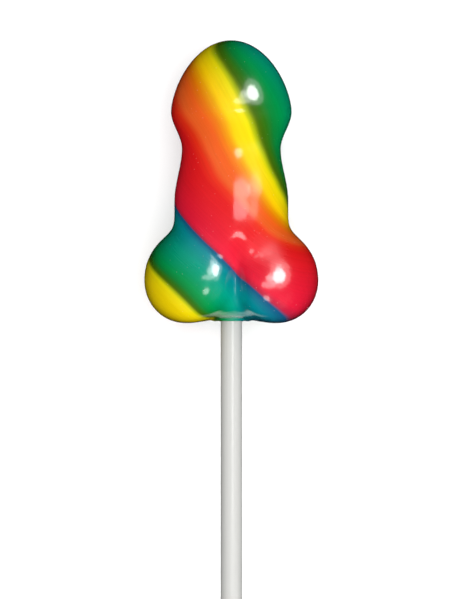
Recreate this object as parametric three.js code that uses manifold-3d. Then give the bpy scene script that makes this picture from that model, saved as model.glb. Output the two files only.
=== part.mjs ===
// A rainbow swirl lollipop: one lump of boiled-sugar candy on a white plastic tube stick.
// The candy is an adult novelty shape: a rounded head, a slightly tapered column and a base of
// two rounded lobes. It lies on its back, with the head towards +Y, the stick towards -Y and
// the moulded front up. Millimetres, +Z up, origin under the middle of the whole part.
import * as THREE from "three";
import { mergeVertices } from "three/addons/utils/BufferGeometryUtils.js";
import Module from "manifold-3d";

// Driving dimensions. Every "at", "from" and "to" is a distance down the candy's axis from the
// tip of the head, and every depth share is the half-depth over the half-width.
const candyLength = 59.6;
const head = { halfWidth: 12.8, at: 15.2, bluntness: 1.6, depthShare: 0.9 };
const neck = { halfWidth: 10.45, at: 22.9 };
const flattest = { at: 30, depthShare: 0.8 };
const column = { halfWidth: 12.05, at: 33.8, endsAt: 58.6, endRounding: 12 };
const belly = { at: 42, depthShare: 0.93, to: 51, endDepthShare: 0.73 };
const lobe = { offset: 9.4, at: 49.45, alongHalf: 10.2, acrossHalf: 8.75, leanDeg: 28 };
// A lobe's crown, where it stands furthest forward: its place from the lobe's middle, its height
// over the axis, how much further in the lobe leans there and how far it spreads. The two lobes
// aren't quite alike.
const leftCrown = { inset: 2.9, drop: 3.9, height: 12.9, leanDeg: -16, alongHalf: 13, acrossHalf: 12 };
const rightCrown = { inset: 3.1, drop: 5.2, height: 12.7, leanDeg: 12, alongHalf: 12.5, acrossHalf: 9.4 };
const crease = { offset: 1.2, from: 40, at: 50, to: 58, depth: 1.3, halfWidth: 0.9 };
// How far apart two forms may be where their blend begins, at the sides and at the crowns.
const blend = { lobes: 4.5, lobesAtCrown: 6, besideColumn: 3.6, underBase: 6.8, atCrown: 5 };
const underBaseReach = 4; // the blend widens this far either side of the lobes' middle
const backEdge = 0.75;
const axisHeight = 10.3; // the axis above the flattened back that the candy lies on
const stick = { radius: 2.25, boreRadius: 1.2, length: 150, inCandy: 38, edgeBreak: 0.15 };
const socketGap = 0.3;

// The starting mesh: a capsule round a spine inside the candy.
const spine = { from: 12, to: 47.5 };
const startRadius = 8;
const capRows = 13;
const spineRows = 40;
const sides = 72;
const longestRay = 25;
const halvings = 40;
const stickSides = 32;

const wholeLength = candyLength + stick.length - stick.inCandy;
const tipY = wholeLength / 2;

function smoothStep(value, from, to) {
  const t = THREE.MathUtils.clamp((value - from) / (to - from), 0, 1);
  return t * t * (3 - 2 * t);
}

// The lower of two fields, with a soft fillet where they differ by less than the given size.
function smoothMin(a, b, size) {
  const overlap = Math.max(size - Math.abs(a - b), 0) / size;
  return Math.min(a, b) - (overlap ** 3 * size) / 6;
}

function smoothMax(a, b, size) {
  return -smoothMin(-a, -b, size);
}

// Half-width of the head and column at a distance from the tip; negative above the tip.
function columnHalfWidth(s) {
  if (s < 0) return s;
  if (s < head.at) return head.halfWidth * Math.sqrt(1 - (1 - s / head.at) ** head.bluntness);
  const toNeck = THREE.MathUtils.lerp(head.halfWidth, neck.halfWidth, smoothStep(s, head.at, neck.at));
  return toNeck + (column.halfWidth - neck.halfWidth) * smoothStep(s, neck.at, column.at);
}

// The oval section's half-depth over its half-width: it flattens below the head, deepens to the
// belly and thins under it.
function depthShareAt(s) {
  const flattened = (head.depthShare - flattest.depthShare) * smoothStep(s, head.at, flattest.at);
  const deepened = (belly.depthShare - flattest.depthShare) * smoothStep(s, flattest.at, belly.at);
  const thinned = (belly.depthShare - belly.endDepthShare) * smoothStep(s, belly.at, belly.to);
  return head.depthShare - flattened + deepened - thinned;
}

// Roughly the distance to the head and column, which has a flat end with a round edge.
function columnField(x, s, z) {
  const side = Math.hypot(x, z / depthShareAt(s)) - columnHalfWidth(s);
  return smoothMax(side, s - column.endsAt, column.endRounding);
}

// How far forward or back a point is: 0 on the axis and 1 level with the flattened back.
function depthReached(z) {
  return smoothStep(Math.abs(z), 0, axisHeight);
}

// Roughly the distance to one lobe: an ellipsoid whose upper end leans in to the column, and
// whose front and back crowns sit closer to the axis and lower than its middle.
function lobeField(x, s, z, side, crown) {
  const deep = z / crown.height;
  const lean = THREE.MathUtils.degToRad(lobe.leanDeg + crown.leanDeg * deep ** 2);
  const alongHalf = THREE.MathUtils.lerp(lobe.alongHalf, crown.alongHalf, deep ** 2);
  const acrossHalf = THREE.MathUtils.lerp(lobe.acrossHalf, crown.acrossHalf, deep ** 2);
  const out = side * x - lobe.offset + crown.inset * deep ** 2;
  const down = s - lobe.at - crown.drop * deep ** 2;
  const along = (down * Math.cos(lean) + out * Math.sin(lean)) / alongHalf;
  const across = (out * Math.cos(lean) - down * Math.sin(lean)) / acrossHalf;
  const scaled = Math.hypot(along, across, deep);
  const slope = Math.hypot(along / alongHalf, across / acrossHalf, deep / crown.height);
  return scaled === 0 ? -lobe.acrossHalf : (scaled * (scaled - 1)) / slope;
}

// How deep the crease between the lobes is pressed into the front and the back.
function creaseDepth(x, s, z) {
  const lengthwise = smoothStep(s, crease.from, crease.at) - smoothStep(s, crease.at, crease.to);
  const crosswise = Math.exp(1 - Math.hypot(1, (x - crease.offset) / crease.halfWidth));
  return crease.depth * lengthwise * crosswise * depthReached(z);
}

// Negative inside the candy, positive outside, in its own axes: across, down from the tip, forward.
function candyField(x, s, z) {
  const reached = depthReached(z);
  const left = lobeField(x, s, z, -1, leftCrown);
  const right = lobeField(x, s, z, 1, rightCrown);
  const lobes = smoothMin(left, right, THREE.MathUtils.lerp(blend.lobes, blend.lobesAtCrown, reached));
  const underBase = smoothStep(s, lobe.at - underBaseReach, lobe.at + underBaseReach);
  const atSide = THREE.MathUtils.lerp(blend.besideColumn, blend.underBase, underBase);
  const size = THREE.MathUtils.lerp(atSide, blend.atCrown, reached);
  const body = smoothMin(columnField(x, s, z), lobes, size) + creaseDepth(x, s, z);
  return smoothMax(body, -z - axisHeight, backEdge);
}

// How far the candy's surface is from a point on the spine, along a ray.
function surfaceDistance(start, direction) {
  let inside = 0;
  let outside = longestRay;
  for (let i = 0; i < halvings; i++) {
    const middle = (inside + outside) / 2;
    const p = start.clone().addScaledVector(direction, middle);
    if (candyField(p.x, -p.y, p.z) < 0) inside = middle;
    else outside = middle;
  }
  return inside;
}

// Each vertex of the capsule is pushed out from the spine until it meets the candy's surface.
function candyGeometry() {
  const middle = -(spine.from + spine.to) / 2;
  const start = new THREE.CapsuleGeometry(startRadius, spine.to - spine.from, capRows, sides, spineRows);
  start.deleteAttribute("normal");
  start.deleteAttribute("uv");
  const geometry = mergeVertices(start.translate(0, middle, 0));
  const position = geometry.getAttribute("position");
  for (let i = 0; i < position.count; i++) {
    const p = new THREE.Vector3().fromBufferAttribute(position, i);
    const root = new THREE.Vector3(0, THREE.MathUtils.clamp(p.y, -spine.to, -spine.from), 0);
    const direction = p.sub(root).normalize();
    const reach = surfaceDistance(root, direction);
    position.setXYZ(i, ...root.addScaledVector(direction, reach).toArray());
  }
  return geometry.translate(0, tipY, axisHeight);
}

// The closed outline of the tube's wall, from its buried end down to its free end.
function stickGeometry() {
  const { radius, boreRadius, length, edgeBreak } = stick;
  const outline = [
    new THREE.Vector2(radius, edgeBreak),
    new THREE.Vector2(radius, length - edgeBreak),
    new THREE.Vector2(radius - edgeBreak, length),
    new THREE.Vector2(boreRadius + edgeBreak, length),
    new THREE.Vector2(boreRadius, length - edgeBreak),
    new THREE.Vector2(boreRadius, edgeBreak),
    new THREE.Vector2(boreRadius + edgeBreak, 0),
    new THREE.Vector2(radius - edgeBreak, 0),
    new THREE.Vector2(radius, edgeBreak),
  ];
  return new THREE.LatheGeometry(outline, stickSides).translate(0, -tipY, axisHeight);
}

// The hole that the stick sits in, open at the bottom of the candy.
function socketGeometry() {
  const depth = stick.inCandy + socketGap;
  const bottomY = tipY - candyLength;
  const overshoot = 5;
  const hole = new THREE.CylinderGeometry(
    stick.radius + socketGap,
    stick.radius + socketGap,
    depth + overshoot,
    stickSides,
  );
  return hole.translate(0, bottomY + (depth - overshoot) / 2, axisHeight);
}

const wasm = await Module();
wasm.setup();

function toSolid(geometry) {
  const bare = geometry.clone();
  bare.deleteAttribute("normal");
  bare.deleteAttribute("uv");
  const merged = mergeVertices(bare);
  const vertProperties = merged.getAttribute("position").array;
  const triVerts = new Uint32Array(merged.index.array);
  return new wasm.Manifold(new wasm.Mesh({ numProp: 3, vertProperties, triVerts }));
}

function toGeometry(solid) {
  const mesh = solid.getMesh();
  const geometry = new THREE.BufferGeometry();
  geometry.setAttribute("position", new THREE.BufferAttribute(mesh.vertProperties, 3));
  geometry.setIndex(new THREE.BufferAttribute(mesh.triVerts, 1));
  geometry.computeVertexNormals();
  return geometry;
}

const candyMaterial = new THREE.MeshStandardMaterial({ color: 0xe8402a, roughness: 0.15, metalness: 0 });
const stickMaterial = new THREE.MeshStandardMaterial({ color: 0xf2f2ee, roughness: 0.3, metalness: 0 });

const candy = new THREE.Mesh(
  toGeometry(toSolid(candyGeometry()).subtract(toSolid(socketGeometry()))),
  candyMaterial,
);
candy.name = "candy";

const stickMesh = new THREE.Mesh(stickGeometry(), stickMaterial);
stickMesh.name = "stick";

const lollipop = new THREE.Group();
lollipop.add(candy, stickMesh);

export default lollipop;
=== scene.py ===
import math

import bpy
from mathutils import Matrix, Vector


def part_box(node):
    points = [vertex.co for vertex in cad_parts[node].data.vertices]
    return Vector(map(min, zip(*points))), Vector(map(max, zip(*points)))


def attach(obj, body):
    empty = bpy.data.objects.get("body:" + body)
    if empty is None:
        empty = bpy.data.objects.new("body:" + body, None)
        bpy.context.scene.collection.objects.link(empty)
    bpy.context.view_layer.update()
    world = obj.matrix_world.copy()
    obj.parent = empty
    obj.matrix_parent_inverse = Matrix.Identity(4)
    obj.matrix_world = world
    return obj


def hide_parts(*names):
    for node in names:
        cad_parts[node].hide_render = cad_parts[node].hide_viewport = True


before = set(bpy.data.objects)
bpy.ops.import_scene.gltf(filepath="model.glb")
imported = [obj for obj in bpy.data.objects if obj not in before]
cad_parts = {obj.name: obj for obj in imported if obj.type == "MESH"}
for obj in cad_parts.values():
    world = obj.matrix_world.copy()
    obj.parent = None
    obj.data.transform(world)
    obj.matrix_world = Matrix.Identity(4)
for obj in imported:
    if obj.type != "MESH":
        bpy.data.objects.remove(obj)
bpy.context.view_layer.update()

mm = 0.001
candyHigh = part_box("candy")[1]
stickLow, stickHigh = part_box("stick")
tipY = candyHigh.y  # the tip of the head, where every distance down the candy starts
axisZ = (stickLow.z + stickHigh.z) / 2  # the stick's middle line above the table
sameSpot = 0.001 * mm  # points closer than this are one
smoothUpTo = math.radians(40)  # edges sharper than this stay crisp


# a point from its distance down from the tip, to the right and to the front, all in mm
def fromTip(down, aside=0.0, forward=0.0):
    return Vector((aside * mm, tipY - down * mm, axisZ + forward * mm))


def pickOnly(*pieces):
    bpy.ops.object.select_all(action="DESELECT")
    for piece in pieces:
        piece.select_set(True)
    bpy.context.view_layer.objects.active = pieces[0]


def startEdit(piece):
    pickOnly(piece)
    bpy.ops.object.mode_set(mode="EDIT")
    bpy.ops.mesh.select_all(action="SELECT")


def endEdit():
    bpy.ops.object.mode_set(mode="OBJECT")


def putPlaceInMesh(piece):
    pickOnly(piece)
    bpy.ops.object.transform_apply(location=True, rotation=True, scale=True)


def finishWith(piece, kind, **settings):
    modifier = piece.modifiers.new(kind.title(), kind)
    for name, value in settings.items():
        setattr(modifier, name, value)
    pickOnly(piece)
    bpy.ops.object.modifier_apply(modifier=modifier.name)


def smoothShare(value, start, end):
    share = min(max((value - start) / (end - start), 0), 1)
    return share * share * (3 - 2 * share)


# The candy: a lump of soft sugar rolled to a head and a column, with a ball on each side of its
# foot, pressed together and then smoothed in the mould.
candy = {
    "sides": 64,
    # the head and column as rings: down from the tip, half the width, depth over width
    "rings": [
        (0.4, 2.5, 0.9),
        (1.5, 5.0, 0.9),
        (4.0, 8.0, 0.9),
        (8.0, 10.7, 0.9),
        (12.0, 12.3, 0.9),
        (15.2, 12.8, 0.9),
        (19.0, 11.6, 0.88),
        (22.9, 10.45, 0.85),
        (28.0, 11.2, 0.805),
        (33.8, 12.05, 0.83),
        (39.5, 12.05, 0.915),
        (45.0, 12.0, 0.88),
        (51.0, 11.7, 0.73),
        (56.0, 10.6, 0.73),
        (58.6, 7.5, 0.72),
    ],
    "lobeDown": 51.4,  # middle of each lobe
    "lobeAside": 7.9,
    "lobeRadii": (9.0, 10.4, 12.4),  # across, along, deep
    "lobeLean": 28,  # degrees that the upper end leans in
    "lobeSides": 48,
    "lobeRows": 24,
    "voxel": 0.3,  # size of the faces of the finished skin
    "smoothing": 0.5,  # how far each round of smoothing goes
    "firstSmoothing": 16,  # rounds
    "lastSmoothing": 5,
    "collarTop": 57.4,  # the little foot of sugar that grips the stick
    "collarEnd": 59.5,
    "collarWide": 4.2,
    "collarNarrow": 2.5,
    "keepRound": (2.9, 4.4),  # round the stick the skin follows the collar, further out the CAD form
    "unevenness": 0.04,  # hand-shaped sugar is never quite even
    "unevenScale": 11.0,
    "socketPlay": 0.01,  # how much more the hole's radius is than the stick's
    "socketRoom": 0.3,  # how much deeper the hole is than the stick goes
    "cutterPast": 4,  # how far the tool that cuts the hole sticks out below
}


def makeColumn():
    rings = candy["rings"]
    down, halfWidth, depthShare = rings[0]
    bpy.ops.mesh.primitive_circle_add(
        vertices=candy["sides"], radius=halfWidth * mm, fill_type="NGON",
        location=fromTip(down), rotation=(math.pi / 2, 0, 0))
    column = bpy.context.object
    putPlaceInMesh(column)
    startEdit(column)
    bpy.ops.transform.resize(value=(1, 1, depthShare), center_override=fromTip(down))
    for (before, oldWidth, oldShare), (after, newWidth, newShare) in zip(rings, rings[1:]):
        step = (0, (before - after) * mm, 0)
        bpy.ops.mesh.extrude_region_move(TRANSFORM_OT_translate={"value": step})
        wider = newWidth / oldWidth
        deeper = newWidth * newShare / (oldWidth * oldShare)
        bpy.ops.transform.resize(value=(wider, 1, deeper), center_override=fromTip(after))
    endEdit()
    return column


def makeLobe(side):
    middle = fromTip(candy["lobeDown"], side * candy["lobeAside"])
    bpy.ops.mesh.primitive_uv_sphere_add(
        segments=candy["lobeSides"], ring_count=candy["lobeRows"], radius=mm, location=middle)
    lobe = bpy.context.object
    putPlaceInMesh(lobe)
    startEdit(lobe)
    bpy.ops.transform.resize(value=candy["lobeRadii"], center_override=middle)
    bpy.ops.transform.rotate(
        value=math.radians(-side * candy["lobeLean"]), orient_axis="Z", center_override=middle)
    endEdit()
    return lobe


def makeCollar():
    top, end = candy["collarTop"], candy["collarEnd"]
    bpy.ops.mesh.primitive_cone_add(
        vertices=candy["sides"], radius1=candy["collarNarrow"] * mm, radius2=candy["collarWide"] * mm,
        depth=(end - top) * mm, location=fromTip((top + end) / 2), rotation=(-math.pi / 2, 0, 0))
    collar = bpy.context.object
    putPlaceInMesh(collar)
    return collar


# a smoothed copy of the imported candy, which the form made above is then drawn onto
def makeGuide():
    guide = bpy.data.objects.new("candyGuide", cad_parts["candy"].data.copy())
    bpy.context.scene.collection.objects.link(guide)
    startEdit(guide)
    bpy.ops.mesh.remove_doubles(threshold=sameSpot)
    endEdit()
    finishWith(guide, "SUBSURF", levels=2, render_levels=2)
    return guide


def markGuided(piece):
    near, far = candy["keepRound"]
    group = piece.vertex_groups.new(name="onGuide")
    for vertex in piece.data.vertices:
        reach = math.hypot(vertex.co.x, vertex.co.z - axisZ) / mm
        byStick = vertex.co.y < fromTip(candy["lobeDown"]).y
        group.add([vertex.index], smoothShare(reach, near, far) if byStick else 1, "REPLACE")
    return group.name


def makeCandy():
    bpy.ops.object.select_all(action="DESELECT")
    parts = [makeColumn(), makeLobe(-1), makeLobe(1), makeCollar()]
    pickOnly(*parts)
    bpy.ops.object.join()
    piece = bpy.context.object
    piece.name = "candySwirl"
    finishWith(piece, "REMESH", mode="VOXEL", voxel_size=candy["voxel"] * mm)
    finishWith(piece, "SMOOTH", factor=candy["smoothing"], iterations=candy["firstSmoothing"])
    guide = makeGuide()
    finishWith(
        piece, "SHRINKWRAP", target=guide, wrap_method="NEAREST_SURFACEPOINT",
        vertex_group=markGuided(piece))
    bpy.data.objects.remove(guide)
    finishWith(piece, "SMOOTH", factor=candy["smoothing"], iterations=candy["lastSmoothing"])
    uneven = bpy.data.textures.new("unevenSugar", "CLOUDS")
    uneven.noise_scale = candy["unevenScale"] * mm
    finishWith(
        piece, "DISPLACE", texture=uneven, texture_coords="LOCAL",
        strength=candy["unevenness"] * mm, mid_level=0.5)
    cutSocket(piece)
    piece.vertex_groups.clear()
    pickOnly(piece)
    bpy.ops.object.shade_smooth_by_angle(angle=smoothUpTo)
    return piece


def cutSocket(piece):
    bottom = candy["collarEnd"] + candy["cutterPast"]
    top = (tipY - stickHigh.y) / mm - candy["socketRoom"]
    bpy.ops.mesh.primitive_cylinder_add(
        vertices=stick["sides"], radius=(stickHigh.x - stickLow.x) / 2 + candy["socketPlay"] * mm,
        depth=(bottom - top) * mm, location=fromTip((bottom + top) / 2), rotation=(math.pi / 2, 0, 0))
    cutter = bpy.context.object
    finishWith(piece, "BOOLEAN", object=cutter, operation="DIFFERENCE", solver="EXACT")
    bpy.data.objects.remove(cutter)


# The stick: a length of plastic tube, cut square and open at both ends.
stick = {
    "sides": 72,
    "bore": 2.4,  # inside diameter of the tube
    "edge": 0.2,  # how far the cut ends are rounded over
    "edgeSteps": 4,
    "edgeFrom": 60,  # degrees: edges sharper than this are rounded
    "rings": 12,  # faces along the tube
}


def makeStick():
    radius = (stickHigh.x - stickLow.x) / 2
    middleX = (stickHigh.x + stickLow.x) / 2
    topEnd = Vector((middleX, stickHigh.y, axisZ))
    freeEnd = Vector((middleX, stickLow.y, axisZ))
    boreShare = stick["bore"] * mm / 2 / radius
    step = (stickHigh.y - stickLow.y) / stick["rings"]
    bpy.ops.object.select_all(action="DESELECT")
    bpy.ops.mesh.primitive_circle_add(
        vertices=stick["sides"], radius=radius, fill_type="NOTHING",
        location=topEnd, rotation=(math.pi / 2, 0, 0))
    piece = bpy.context.object
    piece.name = "stickTube"
    putPlaceInMesh(piece)
    startEdit(piece)
    for _ in range(stick["rings"]):  # down the outside
        bpy.ops.mesh.extrude_region_move(TRANSFORM_OT_translate={"value": (0, -step, 0)})
    bpy.ops.mesh.extrude_region_move(TRANSFORM_OT_translate={"value": (0, 0, 0)})
    bpy.ops.transform.resize(value=(boreShare, 1, boreShare), center_override=freeEnd)  # across the cut
    for _ in range(stick["rings"]):  # up the bore
        bpy.ops.mesh.extrude_region_move(TRANSFORM_OT_translate={"value": (0, step, 0)})
    bpy.ops.mesh.extrude_region_move(TRANSFORM_OT_translate={"value": (0, 0, 0)})
    bpy.ops.transform.resize(value=(1 / boreShare, 1, 1 / boreShare), center_override=topEnd)
    bpy.ops.mesh.select_all(action="SELECT")
    bpy.ops.mesh.remove_doubles(threshold=sameSpot)
    bpy.ops.mesh.normals_make_consistent(inside=False)
    endEdit()
    finishWith(
        piece, "BEVEL", width=stick["edge"] * mm, segments=stick["edgeSteps"],
        limit_method="ANGLE", angle_limit=math.radians(stick["edgeFrom"]))
    pickOnly(piece)
    bpy.ops.object.shade_smooth_by_angle(angle=smoothUpTo)
    return piece


candyPiece = makeCandy()
print("candy shaped:", len(candyPiece.data.polygons), "faces")
stickPiece = makeStick()
print("stick shaped:", len(stickPiece.data.polygons), "faces")


def linear(hexColour):
    channels = [int(hexColour[i:i + 2], 16) / 255 for i in (1, 3, 5)]
    return [c / 12.92 if c <= 0.04045 else ((c + 0.055) / 1.055) ** 2.4 for c in channels] + [1.0]


# adds a node: settings fill its inputs or its own options, links join its inputs to other outputs
def addNode(tree, kind, settings=None, links=None):
    node = tree.nodes.new("ShaderNode" + kind)
    for name, value in (settings or {}).items():
        if isinstance(name, int) or name in node.inputs:
            node.inputs[name].default_value = value
        else:
            setattr(node, name, value)
    for name, source in (links or {}).items():
        tree.links.new(source, node.inputs[name])
    return node


noiseSpan = {"From Min": 0.3, "From Max": 0.7}  # nearly all of a noise's values lie in it


def startMaterial(name):
    material = bpy.data.materials.new(name)
    material.use_nodes = True
    material.node_tree.nodes.clear()
    return material, material.node_tree


# Boiled sugar, pulled and twisted while soft and then pressed in a mould: clear bright stripes
# that run round like a barber's pole, fine pulled lines along them, and a wet-looking gloss.
sugar = {
    # stripes round the lump, each at its share of a turn
    "stripes": [
        (0.000, "#5a740a"),
        (0.015, "#a0ac0c"),
        (0.030, "#dacd06"),
        (0.080, "#edc003"),
        (0.100, "#dd9603"),
        (0.120, "#d97204"),
        (0.145, "#dd5917"),
        (0.180, "#db5921"),
        (0.210, "#d92c13"),
        (0.245, "#d41718"),
        (0.510, "#d61936"),
        (0.540, "#a8203c"),
        (0.550, "#154c76"),
        (0.605, "#00808a"),
        (0.720, "#00947a"),
        (0.890, "#008a44"),
        (0.935, "#0c7a32"),
        (0.965, "#2a6c14"),
        (0.990, "#3e6206"),
        (1.000, "#5a740a"),
    ],
    # turns that the twist has made at each distance down from the tip, in mm
    "twist": [
        (0, -0.118),
        (8, 0.004),
        (16, 0.063),
        (24, 0.119),
        (32, 0.193),
        (40, 0.334),
        (46, 0.487),
        (52, 0.645),
        (60, 0.799),
    ],
    "flareFrom": 30.0,  # below here the stripes spread out into the lobes
    "flareTo": 60.0,
    "flareAcross": 0.27,
    "flareRound": -0.316,
    "flareReach": (3.0, 8.0),  # close round the stick they run straight in again
    "headRound": 0.10,  # and round the head they run more steeply
    "headEnd": 30.0,
    # the lump's depth is evened out before the stripes run round it, so that they cross the
    # thinner neck straight: where it thins and where it fills out again, and by how much
    "neckEvening": (15.2, 24.5, 0.307),
    "bellyEvening": (24.5, 42.0, -0.281),
    "foldedTurn": 0.06,  # the stripe that is folded thick under the left lobe
    "foldedFrom": (1.75, 2.9),  # radians round from the front, where the fold lets go
    "wander": 0.010,  # turns that the stripes' edges stray
    "wanderSize": 11.0,
    "pulledLines": 20,  # how close the fine lines lie, in a turn
    "lineStretch": 3,  # how much longer they are drawn
    "lineTint": (0.94, 1.05),  # their darkest and lightest
    "lineHeight": 0.02,
    "lineStrength": 0.25,
    # air bubbles, drawn coarser than they are so that they show
    "bubbleSpacing": 1.3,
    "bubbleSize": 0.11,
    "bubbleColour": "#fffaf1",
    "bubbleShow": 0.30,
    # the skin: slow ripples left by the mould, under a clear hard gloss
    "rippleSize": 3.6,
    "rippleHeight": 0.018,
    "roughness": (0.16, 0.24),
    "shine": 0.25,
    "refraction": 1.5,
    "coat": 0.85,
    "coatRoughness": 0.10,
    # light goes a little way into the sugar, and red goes furthest
    "glow": 0.1,
    "glowColours": (1.0, 0.6, 0.4),
    "glowDepth": 0.8,
    # a less polished hollow where each lobe joins the column
    "hollowAt": (7.9, 43.9),  # aside and down
    "hollowReach": (0.5, 6.0),
    "hollowRoughness": 0.22,
}


def makeSugar():
    material, tree = startMaterial("boiledSugarStripes")
    place = addNode(tree, "TexCoord")
    # x to the right, y down from the tip and z to the front, in mm
    inMm = addNode(
        tree, "Mapping",
        {"Location": (0, tipY / mm, -axisZ / mm), "Scale": (1 / mm, -1 / mm, 1 / mm)},
        {"Vector": place.outputs["Object"]})
    xyz = addNode(tree, "SeparateXYZ", links={0: inMm.outputs[0]})
    aside, down, forward = xyz.outputs
    eveningShares = []
    for start, end, most in (sugar["neckEvening"], sugar["bellyEvening"]):
        share = addNode(
            tree, "MapRange",
            {"interpolation_type": "SMOOTHSTEP", "From Min": start, "From Max": end, "To Max": most},
            {"Value": down})
        eveningShares.append(share.outputs[0])
    neckEvened = addNode(tree, "Math", {"operation": "ADD", 0: 1.0}, {1: eveningShares[0]})
    evening = addNode(
        tree, "Math", {"operation": "ADD"}, {0: neckEvened.outputs[0], 1: eveningShares[1]})
    evenForward = addNode(
        tree, "Math", {"operation": "MULTIPLY"}, {0: forward, 1: evening.outputs[0]})
    angle = addNode(tree, "Math", {"operation": "ARCTAN2"}, {0: aside, 1: evenForward.outputs[0]})
    sine = addNode(tree, "Math", {"operation": "SINE"}, {0: angle.outputs[0]})
    cosine = addNode(tree, "Math", {"operation": "COSINE"}, {0: angle.outputs[0]})
    fromFront = addNode(tree, "Math", {"operation": "SUBTRACT", 0: 1.0}, {1: cosine.outputs[0]})

    # the twist
    curveLength = sugar["twist"][-1][0]
    lowest, highest = sugar["twist"][0][1], sugar["twist"][-1][1]
    downShare = addNode(tree, "Math", {"operation": "DIVIDE", 1: curveLength}, {0: down})
    twist = addNode(tree, "FloatCurve", links={"Value": downShare.outputs[0]})
    curve = twist.mapping.curves[0]
    points = [(d / curveLength, (t - lowest) / (highest - lowest)) for d, t in sugar["twist"]]
    curve.points[0].location = points[0]
    curve.points[1].location = points[-1]
    for point in points[1:-1]:
        curve.points.new(*point)
    twist.mapping.update()
    turned = addNode(
        tree, "MapRange", {"To Min": lowest, "To Max": highest, "clamp": False},
        {"Value": twist.outputs[0]})

    # the stripes spread into the lobes, and run round the head more steeply than the twist alone
    lowDown = addNode(
        tree, "MapRange", {"From Min": sugar["flareFrom"], "From Max": sugar["flareTo"]},
        {"Value": down})
    acrossForward = addNode(tree, "CombineXYZ", links={0: aside, 1: forward})
    reach = addNode(tree, "VectorMath", {"operation": "LENGTH"}, {0: acrossForward.outputs[0]})
    awayFromStick = addNode(
        tree, "MapRange",
        {"interpolation_type": "SMOOTHSTEP",
         "From Min": sugar["flareReach"][0], "From Max": sugar["flareReach"][1]},
        {"Value": reach.outputs["Value"]})
    flare = addNode(
        tree, "Math", {"operation": "MULTIPLY"}, {0: lowDown.outputs[0], 1: awayFromStick.outputs[0]})
    across = addNode(
        tree, "Math", {"operation": "MULTIPLY", 1: sugar["flareAcross"]}, {0: sine.outputs[0]})
    spread = addNode(
        tree, "Math", {"operation": "MULTIPLY_ADD", 1: sugar["flareRound"]},
        {0: fromFront.outputs[0], 2: across.outputs[0]})
    flared = addNode(
        tree, "Math", {"operation": "MULTIPLY"}, {0: spread.outputs[0], 1: flare.outputs[0]})
    headShare = addNode(
        tree, "MapRange",
        {"From Min": sugar["headEnd"], "From Max": 0.0, "To Max": sugar["headRound"]},
        {"Value": down})
    headed = addNode(
        tree, "Math", {"operation": "MULTIPLY_ADD"},
        {0: fromFront.outputs[0], 1: headShare.outputs[0], 2: flared.outputs[0]})
    unwound = addNode(
        tree, "Math", {"operation": "MULTIPLY_ADD", 1: 1 / (2 * math.pi)},
        {0: angle.outputs[0], 2: headed.outputs[0]})
    wander = addNode(
        tree, "TexNoise", {"Scale": 1 / sugar["wanderSize"], "Detail": 2.0},
        {"Vector": inMm.outputs[0]})
    wandered = addNode(
        tree, "MapRange",
        {"To Min": -sugar["wander"], "To Max": sugar["wander"], "clamp": False},
        {"Value": wander.outputs[0]})
    steady = addNode(
        tree, "Math", {"operation": "SUBTRACT"}, {0: turned.outputs[0], 1: unwound.outputs[0]})
    turn = addNode(tree, "Math", {"operation": "ADD"}, {0: steady.outputs[0], 1: wandered.outputs[0]})

    # past one whole turn the first stripe is folded over itself in front, and runs on behind
    whole = addNode(tree, "Math", {"operation": "MINIMUM", 1: 1.0}, {0: turn.outputs[0]})
    past = addNode(tree, "Math", {"operation": "SUBTRACT"}, {0: turn.outputs[0], 1: whole.outputs[0]})
    thinned = addNode(
        tree, "Math", {"operation": "MULTIPLY", 1: -1 / sugar["foldedTurn"]}, {0: past.outputs[0]})
    faded = addNode(tree, "Math", {"operation": "EXPONENT"}, {0: thinned.outputs[0]})
    folded = addNode(
        tree, "Math", {"operation": "MULTIPLY_ADD", 1: -sugar["foldedTurn"], 2: sugar["foldedTurn"]},
        {0: faded.outputs[0]})
    sideways = addNode(tree, "Math", {"operation": "ABSOLUTE"}, {0: angle.outputs[0]})
    behind = addNode(
        tree, "MapRange",
        {"interpolation_type": "SMOOTHSTEP",
         "From Min": sugar["foldedFrom"][0], "From Max": sugar["foldedFrom"][1]},
        {"Value": sideways.outputs[0]})
    pastNow = addNode(
        tree, "Mix", {"data_type": "FLOAT"},
        {0: behind.outputs[0], 2: folded.outputs[0], 3: past.outputs[0]})
    stripePlace = addNode(
        tree, "Math", {"operation": "ADD"}, {0: whole.outputs[0], 1: pastNow.outputs[0]})
    inTurn = addNode(tree, "Math", {"operation": "FRACT"}, {0: stripePlace.outputs[0]})
    stripes = addNode(tree, "ValToRGB", links={0: inTurn.outputs[0]})
    stops = stripes.color_ramp.elements
    for (share, colour), stop in zip((sugar["stripes"][0], sugar["stripes"][-1]), stops):
        stop.position = share
        stop.color = linear(colour)
    for share, colour in sugar["stripes"][1:-1]:
        stops.new(share).color = linear(colour)

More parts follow.
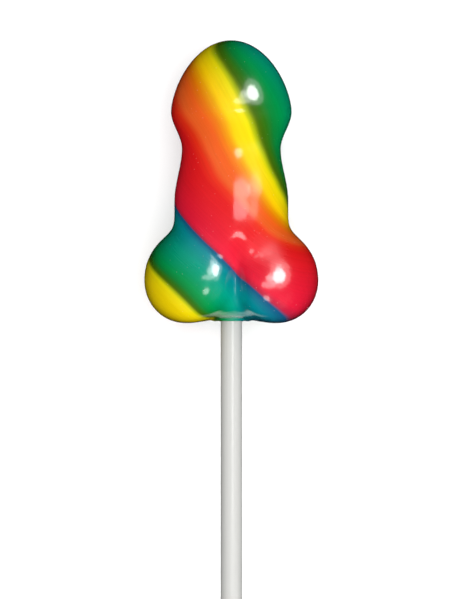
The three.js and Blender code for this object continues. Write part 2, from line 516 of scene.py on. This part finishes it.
    # pulled lines: noise drawn out along the stripes
    around = addNode(
        tree, "Math", {"operation": "MULTIPLY", 1: 2 * math.pi}, {0: stripePlace.outputs[0]})
    aroundX = addNode(tree, "Math", {"operation": "COSINE"}, {0: around.outputs[0]})
    aroundY = addNode(tree, "Math", {"operation": "SINE"}, {0: around.outputs[0]})
    pulledPlace = addNode(
        tree, "CombineXYZ",
        links={0: aroundX.outputs[0], 1: aroundY.outputs[0], 2: downShare.outputs[0]})
    lineScale = sugar["pulledLines"]
    pulledScaled = addNode(
        tree, "Mapping", {"Scale": (lineScale, lineScale, lineScale / sugar["lineStretch"])},
        {"Vector": pulledPlace.outputs[0]})
    pulled = addNode(
        tree, "TexNoise", {"Scale": 1.0, "Detail": 4.0, "Roughness": 0.6},
        {"Vector": pulledScaled.outputs[0]})
    darkest, lightest = sugar["lineTint"]
    pulledTint = addNode(
        tree, "MapRange", {**noiseSpan, "To Min": darkest, "To Max": lightest},
        {"Value": pulled.outputs[0]})
    tinted = addNode(
        tree, "HueSaturation", links={"Value": pulledTint.outputs[0], "Color": stripes.outputs[0]})

    # tiny bubbles of air just under the skin
    bubbles = addNode(
        tree, "TexVoronoi", {"Scale": 1 / sugar["bubbleSpacing"], "Randomness": 1.0},
        {"Vector": inMm.outputs[0]})
    bubbleShare = sugar["bubbleSize"] / sugar["bubbleSpacing"]
    bubble = addNode(
        tree, "MapRange",
        {"interpolation_type": "SMOOTHSTEP", "From Min": bubbleShare, "From Max": 0.0,
         "To Max": sugar["bubbleShow"]},
        {"Value": bubbles.outputs["Distance"]})
    speckled = addNode(
        tree, "Mix", {"data_type": "RGBA", 7: linear(sugar["bubbleColour"])},
        {0: bubble.outputs[0], 6: tinted.outputs[0]})

    ripple = addNode(
        tree, "TexNoise", {"Scale": 1 / sugar["rippleSize"], "Detail": 1.0},
        {"Vector": inMm.outputs[0]})
    rippleBump = addNode(
        tree, "Bump", {"Strength": 1.0, "Distance": sugar["rippleHeight"] * mm},
        {"Height": ripple.outputs[0]})
    pulledBump = addNode(
        tree, "Bump", {"Strength": sugar["lineStrength"], "Distance": sugar["lineHeight"] * mm},
        {"Height": pulled.outputs[0], "Normal": rippleBump.outputs[0]})

    # the mould polishes the sugar less in the hollow where each lobe joins the column
    hollowAside, hollowDown = sugar["hollowAt"]
    eitherSide = addNode(tree, "Math", {"operation": "ABSOLUTE"}, {0: aside})
    sideAndDown = addNode(tree, "CombineXYZ", links={0: eitherSide.outputs[0], 1: down})
    hollowReach = addNode(
        tree, "VectorMath", {"operation": "DISTANCE", 1: (hollowAside, hollowDown, 0)},
        {0: sideAndDown.outputs[0]})
    polish = addNode(
        tree, "MapRange",
        {"interpolation_type": "SMOOTHSTEP",
         "From Min": sugar["hollowReach"][0], "From Max": sugar["hollowReach"][1]},
        {"Value": hollowReach.outputs["Value"]})
    coat = addNode(tree, "MapRange", {"To Max": sugar["coat"]}, {"Value": polish.outputs[0]})
    roughened = addNode(
        tree, "MapRange", {"To Min": sugar["hollowRoughness"], "To Max": 0.0},
        {"Value": polish.outputs[0]})
    smoothest, roughest = sugar["roughness"]
    gloss = addNode(
        tree, "MapRange", {**noiseSpan, "To Min": smoothest, "To Max": roughest},
        {"Value": pulled.outputs[0]})
    roughness = addNode(
        tree, "Math", {"operation": "ADD"}, {0: gloss.outputs[0], 1: roughened.outputs[0]})
    surface = addNode(
        tree, "BsdfPrincipled",
        {"IOR": sugar["refraction"], "Specular IOR Level": sugar["shine"],
         "Coat IOR": sugar["refraction"], "Coat Roughness": sugar["coatRoughness"],
         "Subsurface Weight": sugar["glow"], "Subsurface Radius": sugar["glowColours"],
         "Subsurface Scale": sugar["glowDepth"] * mm},
        {"Base Color": speckled.outputs[2], "Roughness": roughness.outputs[0],
         "Coat Weight": coat.outputs[0],
         "Normal": pulledBump.outputs[0], "Coat Normal": rippleBump.outputs[0]})
    addNode(tree, "OutputMaterial", links={"Surface": surface.outputs[0]})
    return material


# White polypropylene, extruded as a tube: waxy and soft-edged in its shine, with faint lines
# along it from the die.
plastic = {
    "colour": "#c0c0bd",
    "dieLine": 0.33,  # width of a die line in mm
    "dieLineStretch": 100,  # how much longer a line is
    "dieLineTint": (0.97, 1.02),
    "dieLineHeight": 0.02,
    "dieLineStrength": 0.15,
    "roughness": (0.14, 0.20),
    "refraction": 1.49,
    "glow": 0.1,
    "glowDepth": 0.8,
}


def makePlastic():
    material, tree = startMaterial("whitePolypropylene")
    place = addNode(tree, "TexCoord")
    inMm = addNode(
        tree, "Mapping",
        {"Location": (0, 0, -axisZ / mm),
         "Scale": (1 / mm, 1 / mm / plastic["dieLineStretch"], 1 / mm)},
        {"Vector": place.outputs["Object"]})
    lines = addNode(
        tree, "TexNoise", {"Scale": 1 / plastic["dieLine"], "Detail": 3.0},
        {"Vector": inMm.outputs[0]})
    darkest, lightest = plastic["dieLineTint"]
    shade = addNode(
        tree, "MapRange", {**noiseSpan, "To Min": darkest, "To Max": lightest},
        {"Value": lines.outputs[0]})
    tinted = addNode(
        tree, "HueSaturation", {"Color": linear(plastic["colour"])}, {"Value": shade.outputs[0]})
    lineBump = addNode(
        tree, "Bump",
        {"Strength": plastic["dieLineStrength"], "Distance": plastic["dieLineHeight"] * mm},
        {"Height": lines.outputs[0]})
    smoothest, roughest = plastic["roughness"]
    gloss = addNode(
        tree, "MapRange", {**noiseSpan, "To Min": smoothest, "To Max": roughest},
        {"Value": lines.outputs[0]})
    surface = addNode(
        tree, "BsdfPrincipled",
        {"IOR": plastic["refraction"], "Subsurface Weight": plastic["glow"],
         "Subsurface Radius": (1.0, 1.0, 1.0), "Subsurface Scale": plastic["glowDepth"] * mm},
        {"Base Color": tinted.outputs[0], "Roughness": gloss.outputs[0],
         "Normal": lineBump.outputs[0]})
    addNode(tree, "OutputMaterial", links={"Surface": surface.outputs[0]})
    return material


candyPiece.data.materials.clear()
candyPiece.data.materials.append(makeSugar())
stickPiece.data.materials.clear()
stickPiece.data.materials.append(makePlastic())
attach(candyPiece, "root")
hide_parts("candy")
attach(stickPiece, "root")
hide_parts("stick")
print("materials made")

# The table, the light and the camera.
stage = {
    "floorSize": 4.0,
    "floorCells": 8,  # faces along each side
    "floorColour": "#fafafa",
    "floorRoughness": 0.9,
    "floorShine": 0.1,
    "speckleSize": 2.5,  # the paint's faint orange peel, in mm
    "speckleHeight": 0.05,
    "speckleStrength": 0.05,
    "skyTop": 1.69,  # brightness of the ceiling, straight up
    "skyEdge": 0.04,  # at the horizon
    "skyGathered": 1.6,  # the higher, the more of the light comes from straight above
    "below": 0.08,
    "skyInShine": 0.03,  # the share of it that shows in glossy reflections
    "wall": 1.0,  # brightness of the wall behind the table
    # round softboxes: the way they lie from the candy, how far, their width and height in m,
    # the brightness of their face, whether they light the candy and whether they show in its
    # shine, as lights with filters do
    "softboxes": {
        "keySoftbox": ((0.576, 0.522, 0.62), 0.9, (0.32, 0.26), 18.0, False, True),
        "keySpill": ((0.606, 0.530, 0.60), 0.88, (0.56, 0.48), 2.4, False, True),
        "topSoftbox": ((0.30, 0.395, 0.868), 0.9, (0.46, 0.13), 5.0, True, True),
        "bridgeSoftbox": ((0.35, 0.52, 0.78), 0.9, (0.20, 0.13), 7.0, False, True),
        "frontSoftbox": ((0.24, -0.03, 0.966), 0.9, (0.24, 0.22), 6.5, False, True),
        "leftFill": ((-0.36, -0.70, 0.62), 0.9, (0.60, 0.60), 3.1, True, False),
        "rightFill": ((0.78, -0.20, 0.59), 0.9, (0.60, 0.60), 4.6, True, False),
    },
    "lightsAt": 34,  # mm down from the tip, where the softboxes point
    "viewCentre": (-0.49, 30.97),  # mm
    "viewHeight": 126.6,
    "cameraDistance": 1.0,
    "sensor": 36,
}


def makeFloor():
    bpy.ops.object.select_all(action="DESELECT")
    cells = stage["floorCells"]
    bpy.ops.mesh.primitive_grid_add(
        x_subdivisions=cells, y_subdivisions=cells, size=stage["floorSize"])
    floor = bpy.context.object
    floor.name = "tableTop"
    material, tree = startMaterial("paintedBoard")
    place = addNode(tree, "TexCoord")
    speckle = addNode(
        tree, "TexNoise", {"Scale": 1 / (stage["speckleSize"] * mm), "Detail": 2.0},
        {"Vector": place.outputs["Object"]})
    bump = addNode(
        tree, "Bump",
        {"Strength": stage["speckleStrength"], "Distance": stage["speckleHeight"] * mm},
        {"Height": speckle.outputs[0]})
    surface = addNode(
        tree, "BsdfPrincipled",
        {"Base Color": linear(stage["floorColour"]), "Roughness": stage["floorRoughness"],
         "Specular IOR Level": stage["floorShine"]},
        {"Normal": bump.outputs[0]})
    addNode(tree, "OutputMaterial", links={"Surface": surface.outputs[0]})
    floor.data.materials.append(material)
    # the sugar's rims stay deep in colour, as over a table that throws no light back
    floor.visible_glossy = False
    floor.visible_diffuse = False


def makeSoftbox(name, direction, distance, size, brightness, lights, shows):
    away = Vector(direction).normalized()
    right = Vector((0, 1, 0)).cross(away).normalized()
    up = away.cross(right)
    light = bpy.data.lights.new(name, "AREA")
    light.shape = "ELLIPSE"
    light.size, light.size_y = size
    face = math.pi / 4 * size[0] * size[1]
    light.energy = brightness * math.pi * face
    light.use_shadow = False  # only the soft light from above throws a shadow
    holder = bpy.data.objects.new(name, light)
    holder.visible_diffuse = lights
    holder.visible_glossy = shows
    holder.rotation_mode = "QUATERNION"
    holder.location = fromTip(stage["lightsAt"]) + away * distance
    holder.rotation_quaternion = Matrix((right, up, away)).transposed().to_quaternion()
    bpy.context.scene.collection.objects.link(holder)


def makeWorld():
    world = bpy.data.worlds.new("studio")
    bpy.context.scene.world = world
    world.use_nodes = True
    tree = world.node_tree
    tree.nodes.clear()
    direction = addNode(tree, "TexCoord")
    xyz = addNode(tree, "SeparateXYZ", links={0: direction.outputs["Generated"]})
    gathered = addNode(
        tree, "Math", {"operation": "POWER", 1: stage["skyGathered"]}, {0: xyz.outputs["Z"]})
    upward = addNode(
        tree, "MapRange", {"To Min": stage["skyEdge"], "To Max": stage["skyTop"]},
        {"Value": gathered.outputs[0]})
    isUp = addNode(tree, "Math", {"operation": "GREATER_THAN", 1: 0.0}, {0: xyz.outputs["Z"]})
    bright = addNode(
        tree, "Mix", {"data_type": "FLOAT", 2: stage["below"]},
        {0: isUp.outputs[0], 3: upward.outputs[0]})
    ray = addNode(tree, "LightPath")
    shineShare = addNode(
        tree, "MapRange", {"To Min": 1.0, "To Max": stage["skyInShine"]},
        {"Value": ray.outputs["Is Glossy Ray"]})
    lit = addNode(
        tree, "Math", {"operation": "MULTIPLY"}, {0: bright.outputs[0], 1: shineShare.outputs[0]})
    # behind the table the studio's wall is plain and pale
    strength = addNode(
        tree, "Mix", {"data_type": "FLOAT", 3: stage["wall"]},
        {0: ray.outputs["Is Camera Ray"], 2: lit.outputs[0]})
    sky = addNode(tree, "Background", {"Color": (1, 1, 1, 1)}, {"Strength": strength.outputs[0]})
    addNode(tree, "OutputWorld", links={"Surface": sky.outputs[0]})


def makeCamera():
    data = bpy.data.cameras.new("camera")
    data.sensor_width = stage["sensor"]
    data.lens = stage["sensor"] * stage["cameraDistance"] / (stage["viewHeight"] * mm)
    camera = bpy.data.objects.new("camera", data)
    x, y = stage["viewCentre"]
    camera.location = (x * mm, y * mm, axisZ + stage["cameraDistance"])
    bpy.context.scene.collection.objects.link(camera)
    bpy.context.scene.camera = camera


makeFloor()
for name, settings in stage["softboxes"].items():
    makeSoftbox(name, *settings)
makeWorld()
makeCamera()
bpy.context.scene.view_settings.view_transform = "Standard"
print("stage set")
